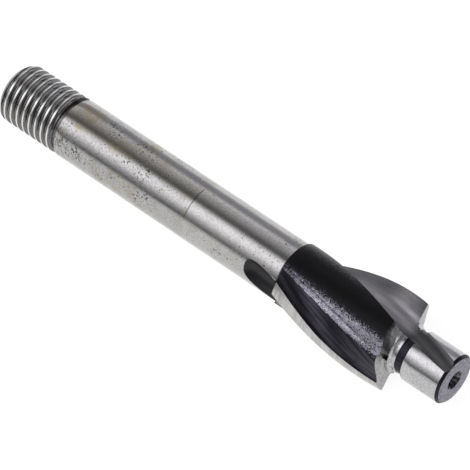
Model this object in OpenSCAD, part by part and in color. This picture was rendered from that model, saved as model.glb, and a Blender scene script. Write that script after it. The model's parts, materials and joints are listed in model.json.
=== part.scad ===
// Counterbore cutter with a screwed shank, two helical teeth and a solid guide pilot.
// The tool is drawn on its own axis, thread end at zero, and is then laid down as it rests.

/* [Shank] */
// Diameter of the plain shank
shank_d = 10; // [8:0.1:12]
// Length from the thread end to the shoulder of the cutting head
shank_len = 57; // [50:0.5:70]
// Bevel at the thread end
end_chamfer = 0.9; // [0.4:0.1:1.5]

/* [Thread] */
// Length of the thread with the groove that ends it
thread_len = 12.2; // [8:0.1:16]
// Pitch of the thread, 20 to the inch
thread_pitch = 1.27; // [1:0.01:1.5]
// Depth of the thread groove
thread_depth = 0.5; // [0.3:0.05:0.6]
// Width of the flat at the bottom of the thread
thread_root_w = 0.25; // [0.1:0.05:0.3]
// Width of the groove that ends the thread
relief_w = 0.95; // [0.9:0.05:1.4]
// Depth of that groove below the thread's bottom
relief_drop = 0.1; // [0.05:0.05:0.3]

/* [Head] */
// Diameter over the two teeth
cut_d = 15; // [13.5:0.1:18]
// Diameter of the unground body between the teeth
core_d = 10.6; // [10.2:0.1:11]
// Length from the shoulder to the plane of the cutting edges
head_len = 21.5; // [16:0.5:28]
// Length over which the back of a tooth rises out of the shoulder
tooth_rise = 1.4; // [0.8:0.1:3]
// Helix angle of the teeth at the cutting diameter
helix_angle = 24; // [15:1:30]

/* [Teeth] */
// Width of the ground land behind a cutting edge
land_w = 2.1; // [1.2:0.1:3]
// Fall of the land to its trailing edge, at the cutting plane
land_relief = 0.75; // [0.2:0.05:1]
// Length over which that fall fades out
land_relief_len = 11; // [5:0.5:18]
// Angle from the cutting edge to the foot of the tooth's back, at the cutting plane
back_angle = 70; // [60:1:76]
// The same angle at the shoulder
back_angle_rear = 42; // [36:1:56]
// Bulge of the tooth's back above the straight line to its foot
back_bulge = 0.9; // [0.3:0.1:1.2]

/* [Flutes] */
// Radius of the bottom of a flute
flute_r = 2.7; // [2.2:0.1:3]
// Diameter of the web left between the flutes
web_d = 6; // [5.4:0.1:7]
// Rake of the cutting face
rake_angle = 2; // [0:0.5:8]
// Length of the run-out on the shank
flute_runout = 6; // [4:0.5:9]
// Rise of the flute bottom along the pilot
flute_rise = 0.85; // [0.2:0.05:1]

/* [Cutting end] */
// Clearance angle behind the end cutting edges
end_relief = 12; // [6:0.5:14]
// Slope of the heel that falls away from the neck
heel_slope = 45; // [38:1:50]
// Angle behind the cutting edge at which the heel slope faces
heel_angle = 130; // [124:1:134]
// Radius of the gash behind the end clearance
gash_r = 1.7; // [1.4:0.1:1.8]
// Angle of the gash's middle behind the cutting edge
gash_angle = 80; // [76:1:90]
// Distance of the gash's middle line outside the unground body
gash_out = 0.3; // [0.3:0.05:0.6]
// Height of that line above the cutting plane
gash_rise = 0.2; // [0:0.05:0.4]
// Slope at which the gash falls away from the tooth
gash_slope = 12; // [6:1:18]

/* [Pilot] */
// Diameter of the guide pilot
pilot_d = 8.4; // [8.2:0.1:9]
// Length from the cutting plane to the end face
pilot_len = 9.5; // [7:0.5:12]
// Bevel at the end of the pilot
pilot_chamfer = 0.4; // [0.1:0.05:0.6]
// Diameter of the ground ring beside the cutting edges
ring_d = 7.8; // [7.6:0.1:8]
// Length of that ring
ring_len = 0.85; // [0.4:0.05:1.2]
// Diameter of the unground groove behind the pilot
neck_d = 7.4; // [7:0.1:7.6]
// Length of that groove
neck_len = 1.65; // [1:0.05:2.2]

/* [Centre holes] */
// Diameter of the countersink
centre_d = 3.2; // [2.6:0.1:3.6]
// Diameter of the drilled hole
centre_drill_d = 1.7; // [1.2:0.1:2]
// Depth of the drilled hole below the end face
centre_depth = 3; // [2.2:0.1:4]

/* [Hidden] */

teeth = 2;
thread_flank = 30;
groove_steps = 20;
arc_steps = 10;
face_steps = 4;
back_steps = 8;
head_steps = 16;
runout_steps = 9;
pilot_steps = 6;
round_fn = 96;
centre_cone = 60;
drill_point = 118;
// Cutting solids reach this far past the faces that they cut
margin = 0.2;
over_angle = 2;
// Where the two handles of a tooth's back stand: share of its angle, and share of the bulge
hollow_at = 0.2;
hollow_lift = 0.3;
bulge_at = 0.8;
bulge_lift = 2;
// Angle that the clearance plane and the heel share at the foot of the back
heel_overlap = 10;

shank_r = shank_d / 2;
cut_r = cut_d / 2;
core_r = core_d / 2;
pilot_r = pilot_d / 2;
ring_r = ring_d / 2;
neck_r = neck_d / 2;
web_r = web_d / 2;
cut_z = shank_len + head_len;
total_len = cut_z + pilot_len;
thread_root_r = shank_r - thread_depth;
tooth_turn = 360 / teeth;
turn_per_mm = 360 * tan(helix_angle) / (PI * cut_d);
land_angle = land_w / cut_r * 180 / PI;
back_start_z = shank_len + tooth_rise;

// The flute is a trough with parallel sides: one side is the cutting face, and the bottom is an arc.
face_x = cut_r * cos(rake_angle)
    - sqrt(pow(cut_r * cos(rake_angle), 2)
        - (pow(cut_r, 2) + pow(flute_r, 2) - 2 * cut_r * flute_r * sin(rake_angle)
            - pow(web_r + flute_r, 2)));
trough_centre = [cut_r - face_x * cos(rake_angle) - flute_r * sin(rake_angle),
    flute_r * cos(rake_angle) - face_x * sin(rake_angle)];
trough_angle = atan2(trough_centre[1], trough_centre[0]);
trough_reach = cut_r + flute_r / 2 - trough_centre[0];

// The tool lies between the front corner of one tooth and the rear corner of the other.
rear_corner = tooth_turn - turn_per_mm * (cut_z - back_start_z) - land_angle;
down_angle = rear_corner / 2;
rest_height = max(core_r, cut_r * cos(down_angle));

function polar(r, a) = [r * cos(a), r * sin(a)];
function mix(a, b, x) = a + (b - a) * x;
function clamp(x) = max(0, min(1, x));
function turned(p, a) = [p[0] * cos(a) - p[1] * sin(a), p[0] * sin(a) + p[1] * cos(a)];
function twist_at(z) = (z - cut_z) * turn_per_mm;
function placed(section, z) = [for (p = section) let (q = turned(p, twist_at(z))) [q[0], q[1], z]];
function bezier(a, b, c, d, x) =
    pow(1 - x, 3) * a + 3 * x * pow(1 - x, 2) * b + 3 * pow(x, 2) * (1 - x) * c + pow(x, 3) * d;

// Section of one tooth: the land, the hollow behind it, the bulge of the back and its foot.
function tooth_section(z) =
    let (front = clamp(1 - (cut_z - z) / land_relief_len))
    let (along = clamp((z - shank_len) / head_len))
    let (trail_r = cut_r + margin - (land_relief + margin) * front)
    let (foot_angle = mix(back_angle_rear, back_angle, along))
    let (span = foot_angle - land_angle)
    let (foot_r = core_r - margin)
    let (trail = polar(trail_r, -land_angle))
    let (hollow = polar(core_r + back_bulge * hollow_lift, -land_angle - span * hollow_at))
    let (bulge = polar(core_r + back_bulge * bulge_lift * along, -land_angle - span * bulge_at))
    let (foot = polar(foot_r, -foot_angle))
    concat(
        [for (i = [0:back_steps]) bezier(foot, bulge, hollow, trail, i / back_steps)],
        [polar(cut_r + 2 * margin, land_angle / 2)],
        [polar(web_r, land_angle / 2), polar(web_r, -foot_angle)]);

// Radius of the flute bottom: level in the head, rising to the pilot's end and out of the shank.
function floor_r(z) =
    let (back = clamp((shank_len - z) / flute_runout))
    let (ahead = clamp((z - cut_z) / pilot_len))
    web_r + (shank_r + margin - web_r) * (1 - sqrt(1 - back * back)) + flute_rise * ahead;

function flute_section(z) =
    let (shift = polar(floor_r(z) - web_r, trough_angle))
    let (c = trough_centre + shift)
    let (face = polar(trough_reach / face_steps, rake_angle))
    let (start = rake_angle - 90)
    concat(
        [for (i = [0:arc_steps]) c + polar(flute_r, start + 180 + 180 * i / arc_steps)],
        [for (i = [1:face_steps]) c + polar(flute_r, start) + i * face],
        [c + polar(flute_r, start + 180) + face_steps * face]);

// Heights of the sections along a tooth and along a flute.
tooth_z = [for (i = [-1:head_steps + 1]) shank_len + head_len * i / head_steps];
flute_z = concat(
    [for (i = [0:runout_steps - 1]) shank_len - flute_runout * cos(90 * i / runout_steps)],
    [for (i = [0:head_steps - 1]) shank_len + head_len * i / head_steps],
    [for (i = [0:pilot_steps + 1]) cut_z + pilot_len * i / pilot_steps]);

// Solid skin over a stack of sections that all have the same number of points.
module sweep(rings) {
    n = len(rings[0]);
    last = len(rings) - 1;
    points = [for (ring = rings, p = ring) p];
    sides = [for (i = [0:last - 1], j = [0:n - 1]) let (k = (j + 1) % n)
        each [[i * n + j, (i + 1) * n + j, (i + 1) * n + k],
              [i * n + j, (i + 1) * n + k, i * n + k]]];
    first_cap = [[for (j = [0:n - 1]) j]];
    last_cap = [[for (j = [n - 1:-1:0]) last * n + j]];
    polyhedron(points, concat(first_cap, sides, last_cap), convexity = 8);
}

module around_teeth() {
    for (i = [0:teeth - 1])
        rotate([0, 0, i * tooth_turn]) children();
}

// Turned blank: bevelled shank, body of the head, ring, groove and pilot.
module turned_blank() {
    rotate_extrude($fn = round_fn)
        polygon([
            [0, 0],
            [shank_r - end_chamfer, 0],
            [shank_r, end_chamfer],
            [shank_r, thread_len - relief_w],
            [thread_root_r - relief_drop, thread_len - relief_w],
            [thread_root_r - relief_drop, thread_len],
            [shank_r, thread_len],
            [shank_r, shank_len],
            [core_r, shank_len],
            [core_r, cut_z],
            [ring_r, cut_z],
            [ring_r, cut_z + ring_len],
            [neck_r, cut_z + ring_len],
            [neck_r, cut_z + ring_len + neck_len],
            [pilot_r, cut_z + ring_len + neck_len],
            [pilot_r, total_len - pilot_chamfer],
            [pilot_r - pilot_chamfer, total_len],
            [0, total_len]
        ]);
}

// Limits of the teeth: the steep back, the cutting diameter and the cutting plane.
module tooth_limits() {
    rotate_extrude($fn = round_fn)
        polygon([
            [0, shank_len],
            [core_r - margin, shank_len],
            [cut_r, back_start_z],
            [cut_r, cut_z],
            [0, cut_z]
        ]);
}

module tooth_pair() {
    intersection() {
        around_teeth()
            sweep([for (z = tooth_z) placed(tooth_section(z), z)]);
        tooth_limits();
    }
}

module flute_cuts() {
    around_teeth()
        sweep([for (z = flute_z) placed(flute_section(z), z)]);
}

// Clearance plane behind each end cutting edge.
module relief_cut() {
    translate([0, 0, cut_z])
        rotate([end_relief, 0, 0])
            translate([-cut_r - margin, -cut_d, 0])
                cube([2 * (cut_r + margin), cut_d, cut_r]);
}

// Slope of the heel, falling away from the ground ring.
module heel_cut() {
    rotate([0, 0, -heel_angle])
        translate([ring_r, 0, cut_z])
            rotate([0, heel_slope, 0])
                translate([-cut_r, -cut_r, 0])
                    cube([2 * cut_d, cut_d, cut_d]);
}

// Round-bottomed gash that runs past the ring and falls away toward the heel.
module gash_cut() {
    rotate([0, 0, -gash_angle])
        translate([core_r + gash_out, 0, cut_z + gash_rise])
            rotate([90 + gash_slope, 0, 0])
                cylinder(r = gash_r, h = 2 * cut_d, center = true, $fn = round_fn);
}

// Everything ground into the end of the head stops at the ring.
module end_cuts() {
    difference() {
        intersection() {
            around_teeth() {
                end_wedge() relief_cut();
                heel_wedge(back_angle) heel_cut();
                heel_wedge(back_angle / 2) gash_cut();
            }
            translate([0, 0, shank_len])
                cylinder(r = cut_d, h = head_len + ring_len / 2, $fn = round_fn);
        }
        translate([0, 0, shank_len - margin])
            cylinder(r = ring_r, h = total_len, $fn = round_fn);
    }
}

// Sector of the end that belongs to the clearance plane.
module end_wedge() {
    intersection() {
        children();
        translate([0, 0, cut_z - cut_r])
            linear_extrude(cut_d)
                polygon([
                    [0, 0],
                    2 * polar(cut_d, -back_angle - heel_overlap),
                    2 * polar(cut_d, -back_angle / 2),
                    2 * polar(cut_d, 0)
                ]);
    }
}

// Sector of the end from a given angle behind the cutting edge to the next flute.
module heel_wedge(from_angle) {
    intersection() {
        children();
        translate([0, 0, cut_z - cut_r])
            linear_extrude(cut_d)
                polygon([
                    [0, 0],
                    2 * polar(cut_d, over_angle - tooth_turn),
                    2 * polar(cut_d, -heel_angle),
                    2 * polar(cut_d, 2 * over_angle - from_angle)
                ]);
    }
}

// Helical groove of the thread. It starts outside the end face and runs into the groove behind it.
module thread_groove() {
    start_z = -thread_pitch;
    end_z = thread_len - relief_w / 2;
    turns = (end_z - start_z) / thread_pitch;
    steps = ceil(turns * groove_steps);
    root_half = thread_root_w / 2;
    outer = shank_r + relief_drop;
    outer_half = root_half + (outer - thread_root_r) * tan(thread_flank);
    sweep([for (i = [0:steps])
        let (a = 360 * turns * i / steps)
        let (z = mix(start_z, end_z, i / steps))
        [for (q = [[thread_root_r, root_half], [outer, outer_half],
                [outer, -outer_half], [thread_root_r, -root_half]])
            [q[0] * cos(a), q[0] * sin(a), z + q[1]]]]);
}

module centre_hole() {
    cone_len = (centre_d - centre_drill_d) / 2 / tan(centre_cone / 2);
    rotate_extrude($fn = round_fn)
        polygon([
            [0, -margin],
            [centre_d / 2 + margin * tan(centre_cone / 2), -margin],
            [centre_drill_d / 2, cone_len],
            [centre_drill_d / 2, centre_depth],
            [0, centre_depth + centre_drill_d / 2 / tan(drill_point / 2)]
        ]);
}

module tool() {
    difference() {
        union() {
            turned_blank();
            tooth_pair();
        }
        flute_cuts();
        end_cuts();
        thread_groove();
        centre_hole();
        translate([0, 0, total_len])
            mirror([0, 0, 1])
                centre_hole();
    }
}

module counterbore_cutter() {
    color("silver")
        translate([-total_len / 2, 0, rest_height])
            rotate([0, 90, 0])
                rotate([0, 0, -down_angle])
                    tool();
}

counterbore_cutter();
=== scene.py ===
import bpy
import json
import math
from mathutils import Matrix, Vector


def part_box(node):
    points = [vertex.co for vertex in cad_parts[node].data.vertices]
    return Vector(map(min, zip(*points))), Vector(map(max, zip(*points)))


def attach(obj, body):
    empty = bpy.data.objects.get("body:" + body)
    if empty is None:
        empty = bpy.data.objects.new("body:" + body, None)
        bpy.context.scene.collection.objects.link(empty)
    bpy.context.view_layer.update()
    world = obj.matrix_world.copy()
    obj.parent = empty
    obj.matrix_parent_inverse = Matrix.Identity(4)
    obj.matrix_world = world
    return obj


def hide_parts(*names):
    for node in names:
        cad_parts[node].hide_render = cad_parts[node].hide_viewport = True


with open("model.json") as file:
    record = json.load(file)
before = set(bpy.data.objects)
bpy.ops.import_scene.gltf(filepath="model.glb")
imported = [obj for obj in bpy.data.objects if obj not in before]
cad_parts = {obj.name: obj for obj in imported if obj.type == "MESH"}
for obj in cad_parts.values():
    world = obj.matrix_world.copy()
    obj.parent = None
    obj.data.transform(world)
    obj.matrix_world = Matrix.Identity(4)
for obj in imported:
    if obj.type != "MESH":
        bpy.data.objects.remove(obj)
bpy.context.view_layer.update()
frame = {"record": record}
print("frame loaded")

# the tool is modelled upright in millimetres, thread end at zero, and is laid down at the end
nodeLow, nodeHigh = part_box("counterbore_cutter")
mounts = {mount["name"]: mount for mount in frame["record"]["mounts"]}
mm = 0.001
size = {
    "totalLen": (nodeHigh.x - nodeLow.x) / mm,
    "cutR": (nodeHigh.y - nodeLow.y) / 2 / mm,
    "shankR": mounts["shank"]["dims"]["r_mm"],
    "axisHeight": mounts["shank"]["pos_m"][2],
    "shankLen": 57.0,
    "headLen": 21.5,
    "coreR": 5.3,
    "helixAngle": 24.0,
    "segments": 160,          # facets round the turned blank
    "smoothBelow": 28.0,      # edges that turn by less are shaded smooth
}
size["cutZ"] = size["shankLen"] + size["headLen"]
size["turnPerMm"] = math.degrees(math.tan(math.radians(size["helixAngle"])) / size["cutR"])


def polar(radius, angle):
    return (radius * math.cos(math.radians(angle)), radius * math.sin(math.radians(angle)))


def mix(first, second, share):
    return first + (second - first) * share


def clamp(value):
    return max(0.0, min(1.0, value))


def smoothMax(a, b, width):
    return (a + b + math.sqrt((a - b) ** 2 + width ** 2)) / 2


def smoothMin(a, b, width):
    return -smoothMax(-a, -b, width)


# finishes


def newMaterial(name, roughness, metallic=1.0):
    material = bpy.data.materials.new(name)
    material.use_nodes = True
    shader = material.node_tree.nodes["Principled BSDF"]
    shader.inputs["Roughness"].default_value = roughness
    shader.inputs["Metallic"].default_value = metallic
    return material, material.node_tree, shader


def addNode(tree, kind, inputs=None, **settings):
    node = tree.nodes.new(kind)
    for key, value in settings.items():
        setattr(node, key, value)
    for key, value in (inputs or {}).items():
        if isinstance(value, bpy.types.NodeSocket):
            tree.links.new(value, node.inputs[key])
        else:
            node.inputs[key].default_value = value
    return node


def math2(tree, operation, a, b=0.0, c=0.0):
    return addNode(tree, "ShaderNodeMath", {0: a, 1: b, 2: c}, operation=operation).outputs[0]


def blendColour(tree, share, first, second):
    return addNode(tree, "ShaderNodeMix", {0: share, 6: first, 7: second}, data_type="RGBA").outputs[2]


def rampUp(tree, value, low, high):
    node = addNode(tree, "ShaderNodeMapRange", {0: value, 1: low, 2: high}, interpolation_type="SMOOTHSTEP")
    return node.outputs[0]


def between(tree, value, limits):
    low, full, fading, high = limits
    return math2(tree, "MULTIPLY", rampUp(tree, value, low, full), rampUp(tree, value, high, fading))


def patchesOf(tree, value, spread):
    # the spread gives the two noise levels between which a patch fades in, and its share where it is full
    low, high, share = spread
    return math2(tree, "MULTIPLY", rampUp(tree, value, low, high), share)


def spotsFrom(tree, value, low, width):
    high = math2(tree, "ADD", low, width)
    return addNode(tree, "ShaderNodeMapRange", {0: value, 1: low, 2: high}).outputs[0]


def toolCoords(tree, untwisted=False):
    # Object coordinates with the tool's axis on X; untwisted, a helix becomes a straight line along X
    coords = addNode(tree, "ShaderNodeTexCoord").outputs["Object"]
    centred = addNode(tree, "ShaderNodeMapping", {0: coords, 1: (0, 0, -size["axisHeight"])}).outputs[0]
    if not untwisted:
        return centred
    turn = math2(tree, "MULTIPLY", alongTool(tree, centred), -math.radians(size["turnPerMm"]) / mm)
    node = addNode(tree, "ShaderNodeVectorRotate", {"Vector": centred, "Angle": turn},
                   rotation_type="X_AXIS")
    return node.outputs[0]


def alongTool(tree, coords):
    return addNode(tree, "ShaderNodeSeparateXYZ", {0: coords}).outputs[0]


def angleRound(tree, coords):
    # degrees round the tool's axis: 0 at the front, 90 on top
    parts = addNode(tree, "ShaderNodeSeparateXYZ", {0: coords})
    front = math2(tree, "MULTIPLY", parts.outputs[1], -1.0)
    return math2(tree, "MULTIPLY", math2(tree, "ARCTAN2", parts.outputs[2], front), 180 / math.pi)


def radiusFrom(tree, coords):
    across = addNode(tree, "ShaderNodeVectorMath", {0: coords, 1: (0, 1, 1)}, operation="MULTIPLY")
    length = addNode(tree, "ShaderNodeVectorMath", {0: across.outputs[0]}, operation="LENGTH")
    return length.outputs["Value"]


def stretched(tree, coords, scale):
    return addNode(tree, "ShaderNodeMapping", {0: coords, 3: scale}).outputs[0]


def noise(tree, coords, scale, detail=4.0, rough=0.55, distortion=0.0):
    node = addNode(tree, "ShaderNodeTexNoise", {0: coords, "Scale": scale, "Detail": detail,
                                                "Roughness": rough, "Distortion": distortion})
    return node.outputs[0]


def bumpFrom(tree, height, strength, distance, below=None):
    inputs = {"Height": height, "Strength": strength, "Distance": distance}
    if below is not None:
        inputs["Normal"] = below
    return addNode(tree, "ShaderNodeBump", inputs).outputs[0]


# widths and places in metres, angles in degrees round the axis as angleRound gives them
shankFinish = {
    "steel": (0.46, 0.455, 0.45, 1),
    "roughness": 0.13,
    "roughCloud": (0.40, 0.75, 0.05),
    "roughStain": 0.12,
    "dull": 0.72,             # brightness of the dull grains and clouds
    "grainScale": 3200.0,
    "grain": (0.38, 0.66, 0.95),
    "cloudScale": 420.0,
    "cloud": (0.42, 0.70, 0.45),
    "stain": (0.33, 0.285, 0.185, 1),
    "stainScale": 260.0,
    "stainLevels": (0.50, 0.68),
    "stains": 0.75,           # share of the stains where they are full
    "wornFrom": 0.012,        # the stains thin out from here
    "wornTo": -0.024,         # and are full from here to the thread end
    "brownStripAngles": (62.0, 78.0, 88.0, 112.0),    # a brownish, grainy strip near the top, fuller toward the thread end
    "brownStripGrain": (0.38, 0.60),
    "shadeOfPits": (0.030, 0.027, 0.026, 1),
    "pits": 0.06,             # how many pits
    "pitScale": 3200.0,
    "pitLevel": 1.12,
    "pitClusters": -0.70,     # how far the clusters and the worn end lower that level
    "pitWorn": -0.05,
    "pitEdge": 0.05,
    "pitShare": 0.9,
    "weldAt": -0.0055,
    "weldHalf": 0.00009,
    "weldShare": 0.6,
    "weldAngles": (34.0, 46.0, 96.0, 108.0),       # where the line fades in and out
    "beyondWeld": (0.62, 0.61, 0.60, 1),           # a little brighter steel there
    "beyondOver": 0.0004,
    "beyondShare": 0.16,
}

threadFinish = dict(shankFinish)
threadFinish.update({
    "steel": (0.34, 0.335, 0.33, 1),
    "roughness": 0.2,
    "stains": 0.35,
    "pits": 0.05,
    # painted shade: dark colour of the flanks and roots
    "paintedFlank": (0.085, 0.083, 0.085, 1),
    "paintedFlankShare": 0.6,
    "flankHighlightAngles": (60.0, 76.0, 104.0, 120.0),    # painted highlight on the upper flanks here
    # radii over which the upper flanks get the painted highlight
    "flankHighlightRadii": (0.00456, 0.00468, 0.00486, 0.00496),
    # painted highlight: near-white colour of the crests
    "crestHighlight": (0.85, 0.845, 0.84, 1),
    "crestRadii": (0.004972, 0.004998),
    "crestShare": 0.75,
})

pilotFinish = dict(shankFinish)
pilotFinish.update({
    "steel": (0.54, 0.535, 0.54, 1),
    "roughness": 0.10,
    "stains": 0.0,
    "pits": 0.012,
})


def groundSteel(name, finish):
    # ground round steel: fine grain, cloudy stains, clustered pits and marks round the axis
    material, tree, shader = newMaterial(name, finish["roughness"])
    coords = toolCoords(tree)
    grain = noise(tree, coords, finish["grainScale"], 4.0, 0.7)
    cloud = noise(tree, coords, finish["cloudScale"], 4.0, 0.6)
    dull = tuple(v * finish["dull"] for v in finish["steel"][:3]) + (1,)
    colour = blendColour(tree, patchesOf(tree, grain, finish["grain"]), finish["steel"], dull)
    colour = blendColour(tree, patchesOf(tree, cloud, finish["cloud"]), colour, dull)
    worn = rampUp(tree, alongTool(tree, coords), finish["wornFrom"], finish["wornTo"])
    stained = stainMask(tree, coords, finish, grain, worn)
    colour = blendColour(tree, math2(tree, "MULTIPLY", stained, finish["stains"]), colour, finish["stain"])
    pits = pitMask(tree, coords, finish, worn)
    colour = blendColour(tree, math2(tree, "MULTIPLY", pits, finish["pitShare"]), colour,
                         finish["shadeOfPits"])
    if finish is shankFinish:
        colour = withWeld(tree, coords, colour)
    # on the thread, painted shade in the grooves and painted highlights on the crests and upper flanks
    if finish is threadFinish:
        colour = withPaintedThreadLight(tree, coords, colour)
    tree.links.new(colour, shader.inputs["Base Color"])
    rough = math2(tree, "ADD", patchesOf(tree, cloud, finish["roughCloud"]), finish["roughness"])
    rough = math2(tree, "MULTIPLY_ADD", stained, finish["roughStain"], rough)
    tree.links.new(rough, shader.inputs["Roughness"])
    marks = noise(tree, stretched(tree, coords, (1, 0.02, 0.02)), 60.0, 3.0, 0.6)
    normal = bumpFrom(tree, marks, 0.06, 0.00003)
    normal = bumpFrom(tree, grain, 0.12, 0.00002, normal)
    normal = bumpFrom(tree, math2(tree, "SUBTRACT", 1.0, pits), 0.5, 0.00006, normal)
    tree.links.new(normal, shader.inputs["Normal"])
    return material


def stainMask(tree, coords, finish, grain, worn):
    patches = noise(tree, coords, finish["stainScale"], 5.0, 0.7, 0.6)
    mask = math2(tree, "MULTIPLY", rampUp(tree, patches, *finish["stainLevels"]),
                 math2(tree, "MULTIPLY_ADD", worn, 0.8, 0.2))
    # brownish strip near the top, fuller toward the thread end
    strip = between(tree, angleRound(tree, coords), finish["brownStripAngles"])
    strip = math2(tree, "MULTIPLY", strip, math2(tree, "MULTIPLY_ADD", worn, 0.5, 0.2))
    strip = math2(tree, "MULTIPLY", strip, rampUp(tree, grain, *finish["brownStripGrain"]))
    return math2(tree, "MAXIMUM", mask, strip)


def pitMask(tree, coords, finish, worn):
    flecks = noise(tree, coords, finish["pitScale"], 2.0, 0.5, 0.8)
    clusters = noise(tree, coords, finish["stainScale"] * 0.6, 3.0, 0.6, 0.4)
    low = math2(tree, "MULTIPLY_ADD", clusters, finish["pitClusters"], finish["pitLevel"] - finish["pits"])
    low = math2(tree, "MULTIPLY_ADD", worn, finish["pitWorn"], low)
    return spotsFrom(tree, flecks, low, finish["pitEdge"])


def withWeld(tree, coords, colour):
    # fine line of the weld between the shank and the tool steel
    f = shankFinish
    along = alongTool(tree, coords)
    beyond = rampUp(tree, along, f["weldAt"], f["weldAt"] + f["beyondOver"])
    colour = blendColour(tree, math2(tree, "MULTIPLY", beyond, f["beyondShare"]), colour, f["beyondWeld"])
    away = math2(tree, "ABSOLUTE", math2(tree, "SUBTRACT", along, f["weldAt"]))
    line = rampUp(tree, away, f["weldHalf"] * 1.6, f["weldHalf"] * 0.5)
    line = math2(tree, "MULTIPLY", line, between(tree, angleRound(tree, coords), f["weldAngles"]))
    return blendColour(tree, math2(tree, "MULTIPLY", line, f["weldShare"]), colour, f["shadeOfPits"])


def withPaintedThreadLight(tree, coords, colour):
    # painted light on the thread: painted shade on the roots and flanks, a painted highlight on the upper
    # flanks and near-white painted highlights on the crests
    f = threadFinish
    radius = radiusFrom(tree, coords)
    flankHighlight = math2(tree, "MULTIPLY", between(tree, angleRound(tree, coords), f["flankHighlightAngles"]),
                   between(tree, radius, f["flankHighlightRadii"]))
    paintedFlank = blendColour(tree, flankHighlight, f["paintedFlank"], f["crestHighlight"])
    return blendColour(tree, rampUp(tree, radius, *f["crestRadii"]),
                       blendColour(tree, f["paintedFlankShare"], colour, paintedFlank),
                       blendColour(tree, f["crestShare"], colour, f["crestHighlight"]))


coreFinish = {
    "black": (0.012, 0.012, 0.013, 1),
    "spotsOutsideHighlight": (0.06, 0.058, 0.066, 1),        # spots outside the painted highlight strip
    # colour of the spots in the painted highlight strip
    "worn": (0.43, 0.417, 0.49, 1),
    "highlightAngles": (22.0, 38.0, 50.0, 74.0),   # where the painted highlight strip fades in and out
    # a weaker painted highlight strip on the upper back
    "backHighlightAngles": (98.0, 122.0, 150.0, 175.0),
    "backHighlightShare": 0.45,
    "drift": 660.0,                           # degrees that the painted highlight strip turns along a metre
    "driftFrom": 0.0206,
    "scale": 3000.0,
    "spotLevel": 0.66,
    "spotHighlight": -0.25,                        # how far the painted highlight strip lowers that level
    "spotEdge": 0.11,
    "roughness": 0.36,
    "roughSpot": -0.08,
}


def coreBlack(name):
    # rough unground body: black, with wormy violet-grey spots, which a painted highlight brightens in
    # strips at fixed angles round the axis
    f = coreFinish
    material, tree, shader = newMaterial(name, f["roughness"], 0.9)
    coords = toolCoords(tree)
    ahead = math2(tree, "SUBTRACT", alongTool(tree, coords), f["driftFrom"])
    angle = math2(tree, "MULTIPLY_ADD", ahead, f["drift"], angleRound(tree, coords))
    highlightStrip = math2(tree, "MULTIPLY_ADD", between(tree, angle, f["backHighlightAngles"]), f["backHighlightShare"],
                 between(tree, angle, f["highlightAngles"]))
    worm = noise(tree, coords, f["scale"], 3.0, 0.65, 2.2)
    spots = spotsFrom(tree, worm, math2(tree, "MULTIPLY_ADD", highlightStrip, f["spotHighlight"], f["spotLevel"]),
                      f["spotEdge"])
    shade = blendColour(tree, highlightStrip, f["spotsOutsideHighlight"], f["worn"])
    tree.links.new(blendColour(tree, spots, f["black"], shade), shader.inputs["Base Color"])
    rough = math2(tree, "MULTIPLY_ADD", spots, f["roughSpot"], f["roughness"])
    tree.links.new(rough, shader.inputs["Roughness"])
    tree.links.new(bumpFrom(tree, worm, 0.55, 0.00008), shader.inputs["Normal"])
    return material


backFinish = {
    "dark": (0.010, 0.010, 0.012, 1),
    "light": (0.060, 0.057, 0.072, 1),
    "roughness": 0.34,
    "along": 0.05,            # scale along the helix, as a share of the scale across it
    "scale": 2300.0,
    "contrast": 0.2,          # half the width of the noise levels between dark and light
    "bump": 0.5,
}
gashFinish = {
    "dark": (0.075, 0.073, 0.072, 1),
    "light": (0.20, 0.195, 0.19, 1),
    "roughness": 0.3,
    "along": 0.3,
    "scale": 1400.0,
    "contrast": 0.25,
    "bump": 0.3,
}
fluteFinish = {
    "dark": (0.12, 0.118, 0.125, 1),
    "light": (0.22, 0.215, 0.225, 1),
    "roughness": 0.36,
    "along": 0.10,
    "scale": 900.0,
    "contrast": 0.35,
    "bump": 0.15,
    "slotTo": (0.0128, 0.0134),       # the dark run-out in the shank ends here
    "pilotFrom": (0.0335, 0.036),     # and the dark part in the pilot starts here
    "slot": 0.24,                     # brightness of each part
    "pilot": 0.55,
    # painted highlight: how much brighter the flute is toward the web
    "inner": 1.9,
    "webHighlightR": (0.0047, 0.0061),
}
blotches = {
    "scale": 420.0,
    "spread": (0.5, 0.75, 0.4),
}


def streakedSteel(name, finish):
    # milled or blackened steel with streaks that follow the helix
    roughness = finish["roughness"]
    material, tree, shader = newMaterial(name, roughness, 0.9)
    coords = toolCoords(tree, untwisted=True)
    streaks = noise(tree, stretched(tree, coords, (finish["along"], 1, 1)), finish["scale"], 4.0, 0.6)
    share = rampUp(tree, streaks, 0.5 - finish["contrast"], 0.5 + finish["contrast"])
    colour = blendColour(tree, share, finish["dark"], finish["light"])
    blotch = noise(tree, toolCoords(tree), blotches["scale"], 4.0, 0.6)
    colour = blendColour(tree, patchesOf(tree, blotch, blotches["spread"]), colour, finish["dark"])
    if finish is fluteFinish:
        colour = shadedAlong(tree, colour)
    tree.links.new(colour, shader.inputs["Base Color"])
    tree.links.new(math2(tree, "MULTIPLY_ADD", blotch, 0.2, roughness - 0.1), shader.inputs["Roughness"])
    tree.links.new(bumpFrom(tree, streaks, finish["bump"], 0.00006), shader.inputs["Normal"])
    return material


def blendLevels(tree, share, first, second):
    rest = math2(tree, "SUBTRACT", 1.0, share)
    return math2(tree, "ADD", math2(tree, "MULTIPLY", first, rest), math2(tree, "MULTIPLY", second, share))


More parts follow.
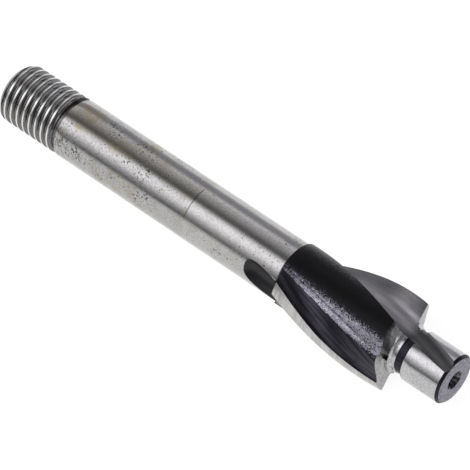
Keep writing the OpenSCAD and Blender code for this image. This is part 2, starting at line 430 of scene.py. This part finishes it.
def shadedAlong(tree, colour):
    # satin flute: dark in the shank and the pilot, lightened toward the web by a painted highlight
    f = fluteFinish
    coords = toolCoords(tree)
    along = alongTool(tree, coords)
    outward = rampUp(tree, radiusFrom(tree, coords), *f["webHighlightR"])
    level = math2(tree, "MULTIPLY_ADD", outward, 1 - f["inner"], f["inner"])
    level = blendLevels(tree, rampUp(tree, along, *f["slotTo"]), f["slot"], level)
    level = blendLevels(tree, rampUp(tree, along, *f["pilotFrom"]), level, f["pilot"])
    scaled = addNode(tree, "ShaderNodeVectorMath", {0: colour, "Scale": level}, operation="SCALE")
    return scaled.outputs[0]


landFinish = {
    "light": (0.56, 0.55, 0.54, 1),
    "dark": (0.42, 0.41, 0.40, 1),
    "cloud": (0.34, 0.32, 0.30, 1),
    "rust": (0.16, 0.10, 0.06, 1),
    "markScale": 2600.0,
    "markLevels": (0.35, 0.70),
    "cloudScale": 500.0,
    "cloudSpread": (0.5, 0.8, 0.6),
    "rustScale": 330.0,
    "rustSpread": (0.66, 0.74, 0.7),
}


def landSteel(name):
    # ground land with slanting grinding marks and a few rust spots
    f = landFinish
    material, tree, shader = newMaterial(name, 0.26)
    coords = toolCoords(tree, untwisted=True)
    marks = noise(tree, stretched(tree, coords, (1, 0.12, 0.12)), f["markScale"], 3.0, 0.6)
    cloud = noise(tree, coords, f["cloudScale"], 4.0, 0.6)
    rust = noise(tree, coords, f["rustScale"], 5.0, 0.7)
    colour = blendColour(tree, rampUp(tree, marks, *f["markLevels"]), f["light"], f["dark"])
    colour = blendColour(tree, patchesOf(tree, cloud, f["cloudSpread"]), colour, f["cloud"])
    colour = blendColour(tree, patchesOf(tree, rust, f["rustSpread"]), colour, f["rust"])
    tree.links.new(colour, shader.inputs["Base Color"])
    tree.links.new(math2(tree, "MULTIPLY_ADD", cloud, 0.16, 0.2), shader.inputs["Roughness"])
    tree.links.new(bumpFrom(tree, marks, 0.22, 0.00003), shader.inputs["Normal"])
    return material


def grainySteel(name, dark, light, roughness):
    # end faces, heels and holes: one grain between two shades
    material, tree, shader = newMaterial(name, roughness, 0.8)
    grain = noise(tree, toolCoords(tree), 2200.0, 4.0, 0.7)
    colour = blendColour(tree, rampUp(tree, grain, 0.38, 0.64), dark, light)
    tree.links.new(colour, shader.inputs["Base Color"])
    tree.links.new(math2(tree, "MULTIPLY_ADD", grain, 0.2, roughness - 0.1), shader.inputs["Roughness"])
    tree.links.new(bumpFrom(tree, grain, 0.35, 0.00005), shader.inputs["Normal"])
    return material


finishes = [
    groundSteel("groundShank", shankFinish),
    groundSteel("threadSteel", threadFinish),
    coreBlack("coreBlack"),
    streakedSteel("backBlack", backFinish),
    landSteel("landSteel"),
    streakedSteel("fluteSteel", fluteFinish),
    groundSteel("pilotSteel", pilotFinish),
    grainySteel("neckBlack", (0.012, 0.011, 0.015, 1), (0.035, 0.032, 0.045, 1), 0.4),
    grainySteel("endFace", (0.16, 0.155, 0.19, 1), (0.36, 0.35, 0.40, 1), 0.42),
    grainySteel("endGround", (0.36, 0.355, 0.35, 1), (0.50, 0.495, 0.49, 1), 0.3),
    # heel and collar: ground steel, its colour raised to stand in as a painted highlight
    grainySteel("heelSteel", (0.42, 0.415, 0.42, 1), (0.62, 0.615, 0.62, 1), 0.26),
    streakedSteel("gashSteel", gashFinish),
    grainySteel("holeSteel", (0.015, 0.015, 0.018, 1), (0.16, 0.16, 0.17, 1), 0.2),
]
finishIndex = {material.name: i for i, material in enumerate(finishes)}
print("finishes made:", len(finishes))


# modelling helpers


def startPiece(name):
    piece = bpy.context.object
    piece.name = name
    piece.data.name = name
    for material in finishes:
        piece.data.materials.append(material)
    return piece


def pickOnly(piece):
    bpy.ops.object.select_all(action="DESELECT")
    piece.select_set(True)
    bpy.context.view_layer.objects.active = piece


def applyBoolean(piece, cutter, operation):
    pickOnly(piece)
    modifier = piece.modifiers.new(operation.lower(), "BOOLEAN")
    modifier.operation = operation
    modifier.object = cutter
    modifier.solver = "EXACT"
    modifier.material_mode = "TRANSFER"
    bpy.ops.object.modifier_apply(modifier=modifier.name)
    bpy.data.objects.remove(cutter)


def roundedCorners(points):
    # each point is (radius, height, size of its rounding); a rounded corner becomes three points
    outline = []
    for i, (r, z, rounding) in enumerate(points):
        if rounding == 0 or i in (0, len(points) - 1):
            outline.append((r, z))
            continue
        corner = Vector((r, z))
        before = (Vector(points[i - 1][:2]) - corner).normalized() * rounding
        after = (Vector(points[i + 1][:2]) - corner).normalized() * rounding
        outline.append(tuple(corner + before))
        outline.append(tuple(corner + (before + after) * 0.29))
        outline.append(tuple(corner + after))
    return outline


def splitLong(outline, low, high, step):
    # extra points between two heights, so that a long facet can be shaped or cut cleanly
    points = [outline[0]]
    for (r0, z0), (r1, z1) in zip(outline, outline[1:]):
        inside = z1 - z0 > step and z1 > low and z0 < high
        pieces = max(1, math.ceil((z1 - z0) / step)) if inside else 1
        points += [(mix(r0, r1, i / pieces), mix(z0, z1, i / pieces)) for i in range(1, pieces + 1)]
    return points


def turnOutline(name, outline, segments):
    # a plane merged to one point is drawn out along the outline and spun round the axis
    bpy.ops.object.select_all(action="DESELECT")
    bpy.ops.mesh.primitive_plane_add(size=1, location=(0, 0, 0))
    piece = startPiece(name)
    bpy.ops.object.mode_set(mode="EDIT")
    bpy.ops.mesh.select_all(action="SELECT")
    bpy.ops.mesh.merge(type="CENTER")
    bpy.ops.transform.translate(value=(outline[0][0], 0, outline[0][1]))
    for (r0, z0), (r1, z1) in zip(outline, outline[1:]):
        bpy.ops.mesh.extrude_region_move(TRANSFORM_OT_translate={"value": (r1 - r0, 0, z1 - z0)})
    bpy.ops.mesh.select_all(action="SELECT")
    bpy.ops.mesh.spin(steps=segments, angle=math.tau, center=(0, 0, 0), axis=(0, 0, 1))
    bpy.ops.mesh.select_all(action="SELECT")
    bpy.ops.mesh.remove_doubles(threshold=0.0008)
    bpy.ops.mesh.normals_make_consistent(inside=False)
    bpy.ops.object.mode_set(mode="OBJECT")
    return piece


def loftRings(name, rings, finish):
    # a section that changes all along a helix can't be drawn out by an operator, so its rings are given
    count = len(rings[0])
    last = len(rings) - 1
    faces = []
    for i in range(last):
        low, high = i * count, (i + 1) * count
        for j in range(count):
            after = (j + 1) % count
            faces.append([low + j, high + j, high + after, low + after])
    faces += [list(range(count)), [last * count + j for j in reversed(range(count))]]
    mesh = bpy.data.meshes.new(name)
    mesh.from_pydata([point for ring in rings for point in ring], [], faces)
    piece = bpy.data.objects.new(name, mesh)
    bpy.context.scene.collection.objects.link(piece)
    pickOnly(piece)
    startPiece(name)
    for face in mesh.polygons:
        face.material_index = finishIndex[finish]
    bpy.ops.object.mode_set(mode="EDIT")
    bpy.ops.mesh.select_all(action="SELECT")
    bpy.ops.mesh.normals_make_consistent(inside=False)
    bpy.ops.object.mode_set(mode="OBJECT")
    return piece


def twistAt(z):
    return (z - size["cutZ"]) * size["turnPerMm"]


def placedRing(section, z, extraTurn=0.0):
    angle = math.radians(twistAt(z) + extraTurn)
    c, s = math.cos(angle), math.sin(angle)
    return [(x * c - y * s, x * s + y * c, z) for x, y in section]


# turned blank

blank = {
    "endChamfer": 0.9,
    "threadLen": 12.2,
    "threadPitch": 1.27,
    "threadDepth": 0.5,
    "threadRootW": 0.25,
    "threadFlank": 30.0,
    "threadSoft": 0.07,
    "threadStep": 0.075,
    "reliefW": 0.95,
    "reliefDrop": 0.1,
    "pilotR": 4.2,
    "pilotChamfer": 0.42,
    "ringR": 3.9,
    "ringLen": 1.05,
    "neckR": 3.7,
    "neckLen": 1.45,
    "centreR": 1.6,
    "drillR": 0.85,
    "centreDepth": 3.0,
    "cone": 60.0,
    "rootDepth": 6.0,         # how far the pilot's solid reaches into the head
    "rootR": 4.35,
    "collarFrom": 0.12,       # hollow collar between the head's end and the ring, above the cutting plane
    "collarTo": 0.68,
    "edge": 0.05,             # usual rounding of a turned corner
    "hair": 0.002,            # keeps faces that would coincide apart
}
blank["coneLen"] = (blank["centreR"] - blank["drillR"]) / math.tan(math.radians(blank["cone"] / 2))
blank["drillTip"] = blank["drillR"] * 0.6


def threadRadius(z, angle):
    # distance from the groove's middle, then a V with softened crest and root
    pitch = blank["threadPitch"]
    away = abs((z / pitch - angle / math.tau + 0.5) % 1.0 - 0.5) * pitch
    depth = (blank["threadRootW"] / 2 - away) / math.tan(math.radians(blank["threadFlank"]))
    depth = smoothMin(depth + blank["threadDepth"], blank["threadDepth"], blank["threadSoft"])
    depth = smoothMax(depth, 0.0, blank["threadSoft"] * 2)
    return size["shankR"] - depth + blank["threadSoft"] * 0.3


def makeShank():
    b, edge = blank, blank["edge"]
    shankR, coreR, cutZ = size["shankR"], size["coreR"], size["cutZ"]
    reliefR = shankR - b["threadDepth"] - b["reliefDrop"]
    threadEnd = b["threadLen"] - b["reliefW"]
    outline = roundedCorners([
        (0, b["centreDepth"] + b["drillTip"], 0),
        (b["drillR"], b["centreDepth"], 0),
        (b["drillR"], b["coneLen"], edge),
        (b["centreR"], 0, edge),
        (shankR - b["endChamfer"], 0, edge),
        (shankR, b["endChamfer"], 0),
        (shankR, threadEnd, 0),
        (reliefR, threadEnd, 0),
        (reliefR, b["threadLen"] - edge * 4, edge * 2),
        (shankR, b["threadLen"], edge),
        (shankR, size["shankLen"], 0),
        (coreR, size["shankLen"], edge),
        (coreR, cutZ - b["hair"], 0),
        (0, cutZ - b["hair"], 0),
    ])
    outline = splitLong(outline, 0.02, threadEnd - 0.01, b["threadStep"])
    outline = splitLong(outline, b["threadLen"], cutZ, 1.5)
    piece = turnOutline("cutter", outline, size["segments"])
    for vertex in piece.data.vertices:
        x, y, z = vertex.co
        radius = math.hypot(x, y)
        if z < threadEnd + 0.01 and radius > shankR - b["endChamfer"] - 0.01:
            wanted = min(radius, threadRadius(z, math.atan2(y, x)))
            vertex.co = (x * wanted / radius, y * wanted / radius, z)
    for face in piece.data.polygons:
        x, y, z = face.center
        face.material_index = finishIndex[shankFinishAt(z, math.hypot(x, y))]
    return piece


def shankFinishAt(z, radius):
    if radius < blank["centreR"] and z < size["shankLen"]:
        return "holeSteel"
    if z < blank["threadLen"] - 0.02:
        return "endFace" if z < 0.02 else "threadSteel"
    if z < size["shankLen"] - 0.001:
        return "groundShank"
    return "coreBlack"


def makePilot():
    b, edge = blank, blank["edge"]
    cutZ, top = size["cutZ"], size["totalLen"]
    neckZ = cutZ + b["ringLen"]
    pilotZ = neckZ + b["neckLen"]
    collarLow, collarHigh = cutZ + b["collarFrom"], cutZ + b["collarTo"]
    outline = roundedCorners([
        (0, cutZ - b["rootDepth"], 0),
        (b["rootR"], cutZ - b["rootDepth"], 0),
        (b["rootR"], cutZ + b["collarFrom"], 0),
        (mix(b["ringR"], b["rootR"], 0.42), mix(collarLow, collarHigh, 0.27), 0),
        (mix(b["ringR"], b["rootR"], 0.12), mix(collarLow, collarHigh, 0.62), 0),
        (b["ringR"], cutZ + b["collarTo"], 0),
        (b["ringR"], neckZ, edge),
        (b["neckR"], neckZ, edge),
        (b["neckR"], pilotZ, edge),
        (b["pilotR"], pilotZ, edge),
        (b["pilotR"], top - b["pilotChamfer"], edge),
        (b["pilotR"] - b["pilotChamfer"], top, edge),
        (b["centreR"], top, edge),
        (b["drillR"], top - b["coneLen"], edge),
        (b["drillR"], top - b["centreDepth"], 0),
        (0, top - b["centreDepth"] - b["drillTip"], 0),
    ])
    outline = splitLong(outline, cutZ, top, 1.5)
    piece = turnOutline("pilot", outline, size["segments"])
    limits = [
        # the collar takes the heel's colour with its painted highlight
        (cutZ + b["collarTo"], "heelSteel"),
        (neckZ + 0.02, "pilotSteel"),
        (pilotZ - 0.02, "neckBlack"),
        (top - b["pilotChamfer"] - 0.03, "pilotSteel"),
        (top - 0.03, "neckBlack"),
        (top + 1, "endFace"),
    ]
    for face in piece.data.polygons:
        x, y, z = face.center
        inHole = math.hypot(x, y) < b["centreR"] and z > pilotZ
        finish = "holeSteel" if inHole else next(name for height, name in limits if z < height)
        face.material_index = finishIndex[finish]
    return piece


body = makeShank()
print("shank turned:", len(body.data.polygons), "faces")


# teeth

tooth = {
    "rise": 1.4,              # steep back of a tooth, from the shoulder to the full diameter
    "landW": 2.1,
    "landRelief": 0.75,
    "landReliefLen": 11.0,
    "backAngle": 70.0,
    "backAngleRear": 42.0,
    "backBulge": 0.9,
    "hollowAt": 0.2,          # where along the back its curve is pulled, and how far it is lifted there
    "hollowLift": 0.3,
    "bulgeAt": 0.8,
    "bulgeLift": 2.0,
    "margin": 0.2,
    "riseRings": 12,
    "rings": 90,
    "backSteps": 30,
    "footWorn": 13.0,         # angle over which the back's foot has the core's finish
    "landSteps": 5,
}
tooth["landAngle"] = math.degrees(tooth["landW"] / size["cutR"])


def bezier(a, b, c, d, x):
    weights = ((1 - x) ** 3, 3 * x * (1 - x) ** 2, 3 * x * x * (1 - x), x ** 3)
    return tuple(sum(w * p[k] for w, p in zip(weights, (a, b, c, d))) for k in (0, 1))


def alongHead(z):
    return clamp((z - size["shankLen"]) / size["headLen"])


def footAngleAt(z):
    return mix(tooth["backAngleRear"], tooth["backAngle"], alongHead(z))


def toothSection(z):
    t = tooth
    front = clamp(1 - (size["cutZ"] - z) / t["landReliefLen"])
    along = alongHead(z)
    trailR = size["cutR"] - t["landRelief"] * front
    footAngle = footAngleAt(z)
    span = footAngle - t["landAngle"]
    trail = polar(trailR, -t["landAngle"])
    hollow = polar(size["coreR"] + t["backBulge"] * t["hollowLift"], -t["landAngle"] - span * t["hollowAt"])
    bulge = polar(size["coreR"] + t["backBulge"] * t["bulgeLift"] * along,
                  -t["landAngle"] - span * t["bulgeAt"])
    foot = polar(size["coreR"] - t["margin"], -footAngle)
    back = [bezier(foot, bulge, hollow, trail, i / t["backSteps"]) for i in range(t["backSteps"] + 1)]
    land = []
    for i in range(1, t["landSteps"] + 1):
        angle = -t["landAngle"] * (1 - i / t["landSteps"])
        radius = mix(trailR, size["cutR"], (i / t["landSteps"]) ** 0.7) if front > 0 else size["cutR"]
        land.append(polar(radius, angle))
    tail = [polar(size["cutR"], t["landAngle"] / 2), polar(size["coreR"] - 2, t["landAngle"] / 2),
            polar(size["coreR"] - 2, -footAngle)]
    # the steep back limits the radius near the shoulder
    limit = mix(size["coreR"] - t["margin"], size["cutR"], (z - size["shankLen"]) / t["rise"])
    section = []
    for x, y in back + land + tail:
        radius = math.hypot(x, y)
        keep = min(1.0, max(limit, size["coreR"] - t["margin"]) / radius)
        section.append((x * keep, y * keep))
    return section


def makeTooth(index):
    low = size["shankLen"] - 0.001
    steps = tooth["riseRings"]
    heights = [low + tooth["rise"] * i / steps for i in range(steps + 1)]
    steps = tooth["rings"]
    heights += [mix(low + tooth["rise"], size["cutZ"], i / steps) for i in range(1, steps + 1)]
    rings = [placedRing(toothSection(z), z, 180 * index) for z in heights]
    piece = loftRings("tooth%d" % index, rings, "backBlack")
    for face in piece.data.polygons:
        x, y, z = face.center
        angle = (math.degrees(math.atan2(y, x)) - twistAt(z) - 180 * index + 180) % 360 - 180
        if angle > -tooth["landAngle"] and z > size["shankLen"] + tooth["rise"] * 0.9:
            face.material_index = finishIndex["landSteel"]
        elif angle < tooth["footWorn"] - footAngleAt(z):
            face.material_index = finishIndex["coreBlack"]
    return piece


for index in range(2):
    applyBoolean(body, makeTooth(index), "UNION")
print("teeth joined:", len(body.data.polygons), "faces")


# flutes

flute = {
    "radius": 2.7,
    "webR": 3.0,
    "rake": 2.0,
    "runout": 6.0,
    "rise": 0.85,
    "arcSteps": 36,
    "wallSteps": 10,
    "runoutRings": 40,
    "ringStep": 0.3,
    "past": 1.0,              # how far the cut goes on past the pilot's end
}


def troughMiddle():
    # middle of the round trough that touches the web and ends the raked face; the lip is at (cutR, 0)
    cutR, radius = size["cutR"], flute["radius"]
    cosine, sine = polar(1, flute["rake"])
    apart = cutR ** 2 + radius ** 2 - 2 * cutR * radius * sine - (flute["webR"] + radius) ** 2
    face = cutR * cosine - math.sqrt((cutR * cosine) ** 2 - apart)
    return cutR - face * cosine - radius * sine, radius * cosine - face * sine


troughX, troughY = troughMiddle()
flute["angle"] = math.degrees(math.atan2(troughY, troughX))


def floorRadius(z):
    back = clamp((size["shankLen"] - z) / flute["runout"])
    ahead = clamp((z - size["cutZ"]) / (size["totalLen"] - size["cutZ"]))
    out = size["shankR"] + 0.2 - flute["webR"]
    return flute["webR"] + out * (1 - math.sqrt(1 - back * back)) + flute["rise"] * ahead


def fluteSection(z):
    shift = polar(floorRadius(z) - flute["webR"], flute["angle"])
    cx, cy = troughX + shift[0], troughY + shift[1]
    reach = size["cutR"] + flute["radius"] / 2 - troughX
    start = flute["rake"] - 90
    points = []
    for i in range(flute["arcSteps"] + 1):
        ax, ay = polar(flute["radius"], start + 180 + 180 * i / flute["arcSteps"])
        points.append((cx + ax, cy + ay))
    for side, order in ((start, range(1, flute["wallSteps"] + 1)),
                        (start + 180, range(flute["wallSteps"], 0, -1))):
        ax, ay = polar(flute["radius"], side)
        for i in order:
            bx, by = polar(reach * i / flute["wallSteps"], flute["rake"])
            points.append((cx + ax + bx, cy + ay + by))
    return points


def makeFlute(index):
    heights = [size["shankLen"] - flute["runout"] * math.cos(math.pi / 2 * i / flute["runoutRings"])
               for i in range(flute["runoutRings"])]
    top = size["totalLen"] + flute["past"]
    steps = math.ceil((top - size["shankLen"]) / flute["ringStep"])
    heights += [mix(size["shankLen"], top, i / steps) for i in range(steps + 1)]
    rings = [placedRing(fluteSection(z), z, 180 * index) for z in heights]
    return loftRings("flute%d" % index, rings, "fluteSteel")


# cutting end

cuttingEnd = {
    "relief": 12.0,
    "heelSlope": 45.0,
    "heelAngle": 130.0,
    "heelOverlap": 10.0,
    "farAngle": 178.0,             # the heel and the gash are cut as far behind the edge as this
    "gashR": 1.9,
    "gashStart": (6.15, 0.75),     # radius and height of the round gash's middle beside the tooth
    "gashEnd": (7.1, -1.1),        # the same at the next flute
    "gashTurn": (72.0, 135.0),     # angles between which it moves from one to the other
    "gashSteps": 60,
    "gashSides": 72,
    "stepAt": (2.37, -3.65),       # the clearance ends and the gash starts at an upright plane through here
    "stepFacing": 162.0,
    "over": 4.0,
    "fillet": 0.3,                 # hollow between the clearance and the pilot's root
    "filletSteps": 6,
    "filletSector": (-57.0, 20.0),
    "blockSteps": 32,
    "blockR": 1.4,                 # size of the blocks that cut, in cutting radii
    "blockTop": 3.0,
}


def sectorBlock(name, angles, finish):
    # sector of a round bar at the cutting end, which a plane or a cylinder then trims
    steps = cuttingEnd["blockSteps"]
    outer = size["cutR"] * cuttingEnd["blockR"]
    heights = (size["cutZ"] - size["cutR"], size["cutZ"] + cuttingEnd["blockTop"])
    edge = [(0, 0)] + [polar(outer, mix(angles[0], angles[1], i / steps)) for i in range(steps + 1)]
    return loftRings(name, [[(x, y, z) for x, y in edge] for z in heights], finish)


def cutAway(piece, point, normal):
    # keeps the side that the normal points to and closes the cut
    finish = piece.data.polygons[0].material_index
    pickOnly(piece)
    bpy.ops.object.mode_set(mode="EDIT")
    bpy.ops.mesh.select_all(action="SELECT")
    bpy.ops.mesh.bisect(plane_co=point, plane_no=normal, use_fill=True, clear_inner=True)
    bpy.ops.object.mode_set(mode="OBJECT")
    for face in piece.data.polygons:
        face.material_index = finish


def turnedBy(angle, vector):
    return Matrix.Rotation(math.radians(angle), 3, "Z") @ Vector(vector)


def stepPlane(turn, side):
    # upright plane where the clearance ends, on its side -1, and the gash starts, on its side 1
    point = cuttingEnd["stepAt"] + (size["cutZ"],)
    facing = polar(side, cuttingEnd["stepFacing"]) + (0,)
    return turnedBy(turn, point), turnedBy(turn, facing)


def reliefCutter(turn):
    # clearance behind an end cutting edge
    e = cuttingEnd
    tilt = math.radians(e["relief"])
    block = sectorBlock("clearance", (turn - tooth["backAngle"] - e["heelOverlap"], turn + 1), "endGround")
    cutAway(block, (0, 0, size["cutZ"]), turnedBy(turn, (0, -math.sin(tilt), math.cos(tilt))))
    cutAway(block, *stepPlane(turn, -1))
    return block


def heelCutter(turn):
    # heel that falls away from the ring
    e = cuttingEnd
    slope = math.radians(e["heelSlope"])
    edge = polar(blank["ringR"], turn - e["heelAngle"])
    angles = (turn - e["farAngle"], turn - tooth["backAngle"] + e["over"])
    block = sectorBlock("heel", angles, "heelSteel")
    cutAway(block, (edge[0], edge[1], size["cutZ"]),
            turnedBy(turn - e["heelAngle"], (math.sin(slope), 0, math.cos(slope))))
    return block


def gashCutter(turn):
    # hollow gash behind the clearance that moves outward and down on its way to the next flute
    e = cuttingEnd
    rings = []
    for i in range(e["gashSteps"] + 1):
        angle = mix(tooth["backAngle"] / 2, e["farAngle"], i / e["gashSteps"])
        share = clamp((angle - e["gashTurn"][0]) / (e["gashTurn"][1] - e["gashTurn"][0]))
        share = share * share * (3 - 2 * share)
        radius, rise = (mix(a, b, share) for a, b in zip(e["gashStart"], e["gashEnd"]))
        ring = []
        for j in range(e["gashSides"]):
            x, z = polar(e["gashR"], j * 360 / e["gashSides"])
            ring.append(polar(radius + x, turn - angle) + (size["cutZ"] + rise + z,))
        rings.append(ring)
    block = loftRings("gash", rings, "gashSteel")
    cutAway(block, *stepPlane(turn, 1))
    return block


def neckFillet(turn):
    # hollow corner that carries an end cutting edge up to the ring
    e = cuttingEnd
    inner, f = blank["rootR"], e["fillet"]
    corner = [(inner + f - f * math.sin(math.pi / 2 * i / e["filletSteps"]),
               f - f * math.cos(math.pi / 2 * i / e["filletSteps"])) for i in range(e["filletSteps"] + 1)]
    outline = [(inner - f, -f), (inner + f, -f)] + corner + [(inner - f, f), (inner - f, -f)]
    ring = turnOutline("fillet", outline, size["segments"])
    for face in ring.data.polygons:
        face.material_index = finishIndex["endGround"]
    ring.data.transform(Matrix.Translation((0, 0, size["cutZ"]))
                        @ Matrix.Rotation(math.radians(turn), 4, "Z")
                        @ Matrix.Rotation(math.radians(e["relief"]), 4, "X"))
    angles = [turn + angle for angle in e["filletSector"]]
    applyBoolean(ring, sectorBlock("sector", angles, "endGround"), "INTERSECT")
    return ring


for turn in (0, 180):
    applyBoolean(body, reliefCutter(turn), "DIFFERENCE")
    applyBoolean(body, heelCutter(turn), "DIFFERENCE")
applyBoolean(body, makePilot(), "UNION")
for turn in (0, 180):
    applyBoolean(body, neckFillet(turn), "UNION")
    applyBoolean(body, gashCutter(turn), "DIFFERENCE")
print("cutting end ground:", len(body.data.polygons), "faces")

for index in range(2):
    applyBoolean(body, makeFlute(index), "DIFFERENCE")
print("flutes cut:", len(body.data.polygons), "faces")


# laying the tool down

# it rests on its core, with one tooth's front lip and the other's rear corner equally far from the floor
rearCorner = 180 - size["turnPerMm"] * (size["headLen"] - tooth["rise"]) - tooth["landAngle"]
layDown = (Matrix.Translation((nodeLow.x, 0, size["axisHeight"]))
           @ Matrix.Rotation(math.radians(90), 4, "Y")
           @ Matrix.Rotation(math.radians(-rearCorner / 2), 4, "Z")
           @ Matrix.Scale(mm, 4))
body.data.transform(layDown)
pickOnly(body)
bpy.ops.object.shade_smooth_by_angle(angle=math.radians(size["smoothBelow"]))
finishesAt = {}
for face in body.data.polygons:
    for key in face.edge_keys:
        finishesAt.setdefault(key, set()).add(face.material_index)
for edge in body.data.edges:
    if len(finishesAt[edge.key]) > 1:
        edge.use_edge_sharp = True
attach(body, "root")
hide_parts("counterbore_cutter")
print("tool laid down")


# floor, light and camera

studio = {
    "floorSize": 3.0,
    "floorDiffuse": (0.28, 0.28, 0.28, 1),
    "floorGlow": 0.90,
    "floorFromBelow": (0.8, 0.8, 0.79, 1),
    "softbox": 1.75,
    "softboxMiddle": -0.42,        # the lights are full near this direction along the tool's axis
    "softboxHalf": (0.40, 0.85),   # and fade from the first to the second distance from it
    "softboxEnds": 0.30,
    "cameraFrom": (0.42, -0.42904, 0.7997),
    "lookAt": (0.001213, -0.000075, 0.0053),
    "distance": 0.57,
    "lens": 286.84,
    "roll": -4.426,
    "violetPast": 143.0,           # the light from behind is a little violet past this angle
    "lightRound": [                # degrees round the tool's axis, brightness there
        (0.0, 0.50), (6.0, 0.46), (10.0, 0.13), (15.0, 0.13), (21.0, 0.24), (29.0, 0.38), (36.0, 0.56),
        (44.0, 0.77), (51.0, 0.90), (59.0, 0.95), (66.0, 0.88), (73.0, 0.70), (80.0, 0.34), (86.0, 0.09),
        (95.0, 0.09), (102.0, 0.16), (110.0, 0.25), (118.0, 0.33), (127.0, 0.40), (136.0, 0.52),
        (143.0, 0.47), (150.0, 0.24), (165.0, 0.22), (176.0, 0.33), (180.0, 0.34),
    ],
}


def makeFloor():
    bpy.ops.object.select_all(action="DESELECT")
    bpy.ops.mesh.primitive_plane_add(size=studio["floorSize"], location=(0, 0, -0.00002))
    floor = bpy.context.object
    floor.name = "floor"
    material = bpy.data.materials.new("paper")
    material.use_nodes = True
    tree = material.node_tree
    tree.nodes.remove(tree.nodes["Principled BSDF"])
    path = addNode(tree, "ShaderNodeLightPath")
    seen = math2(tree, "MAXIMUM", path.outputs["Is Camera Ray"], path.outputs["Is Glossy Ray"])
    seen = math2(tree, "MAXIMUM", seen, path.outputs["Is Transmission Ray"])
    paper = addNode(tree, "ShaderNodeBsdfDiffuse", {"Color": studio["floorFromBelow"]})
    shaded = addNode(tree, "ShaderNodeBsdfDiffuse", {"Color": studio["floorDiffuse"]})
    glow = addNode(tree, "ShaderNodeEmission", {"Strength": studio["floorGlow"]})
    both = addNode(tree, "ShaderNodeAddShader", {0: shaded.outputs[0], 1: glow.outputs[0]})
    mixed = addNode(tree, "ShaderNodeMixShader", {0: seen, 1: paper.outputs[0], 2: both.outputs[0]})
    tree.links.new(mixed.outputs[0], tree.nodes["Material Output"].inputs[0])
    floor.data.materials.append(material)


def makeWorld():
    # a studio told by the angle round the tool's axis: softbox above and in front, grey behind
    world = bpy.data.worlds.new("studio")
    bpy.context.scene.world = world
    world.use_nodes = True
    tree = world.node_tree
    background = tree.nodes["Background"]
    way = addNode(tree, "ShaderNodeTexCoord").outputs["Generated"]
    parts = addNode(tree, "ShaderNodeSeparateXYZ", {0: way})
    toFront = math2(tree, "MULTIPLY", parts.outputs[1], -1.0)
    angle = math2(tree, "ARCTAN2", parts.outputs[2], toFront)
    share = math2(tree, "DIVIDE", angle, math.pi)
    ramp = addNode(tree, "ShaderNodeValToRGB", {0: share})
    elements = ramp.color_ramp.elements
    for i, (at, level) in enumerate(studio["lightRound"]):
        element = elements[i] if i < 2 else elements.new(at / 180)
        element.position = at / 180
        blue = 1.07 if at > studio["violetPast"] else 1.02
        element.color = (level, level * 0.99, level * blue, 1)
    path = addNode(tree, "ShaderNodeLightPath")
    camera = path.outputs["Is Camera Ray"]
    sideways = math2(tree, "ABSOLUTE", math2(tree, "SUBTRACT", parts.outputs[0], studio["softboxMiddle"]))
    ends = rampUp(tree, sideways, *studio["softboxHalf"])
    softbox = studio["softbox"]
    dimmed = math2(tree, "MULTIPLY_ADD", ends, softbox * (studio["softboxEnds"] - 1), softbox)
    strength = addNode(tree, "ShaderNodeMapRange", {0: camera, 3: dimmed, 4: 1.0}).outputs[0]
    colour = blendColour(tree, camera, ramp.outputs[0], (1, 1, 1, 1))
    tree.links.new(colour, background.inputs["Color"])
    tree.links.new(strength, background.inputs["Strength"])


def makeCamera():
    toward = Vector(studio["cameraFrom"]).normalized()
    place = Vector(studio["lookAt"]) + toward * studio["distance"]
    bpy.ops.object.camera_add(location=place)
    camera = bpy.context.object
    camera.rotation_mode = "QUATERNION"
    facing = (-toward).to_track_quat("-Z", "Y")
    roll = Matrix.Rotation(math.radians(studio["roll"]), 4, "Z").to_quaternion()
    camera.rotation_quaternion = facing @ roll
    camera.data.lens = studio["lens"]
    camera.data.clip_start = 0.01
    bpy.context.scene.camera = camera


makeFloor()
makeWorld()
makeCamera()
bpy.context.scene.view_settings.view_transform = "Standard"
print("studio set")
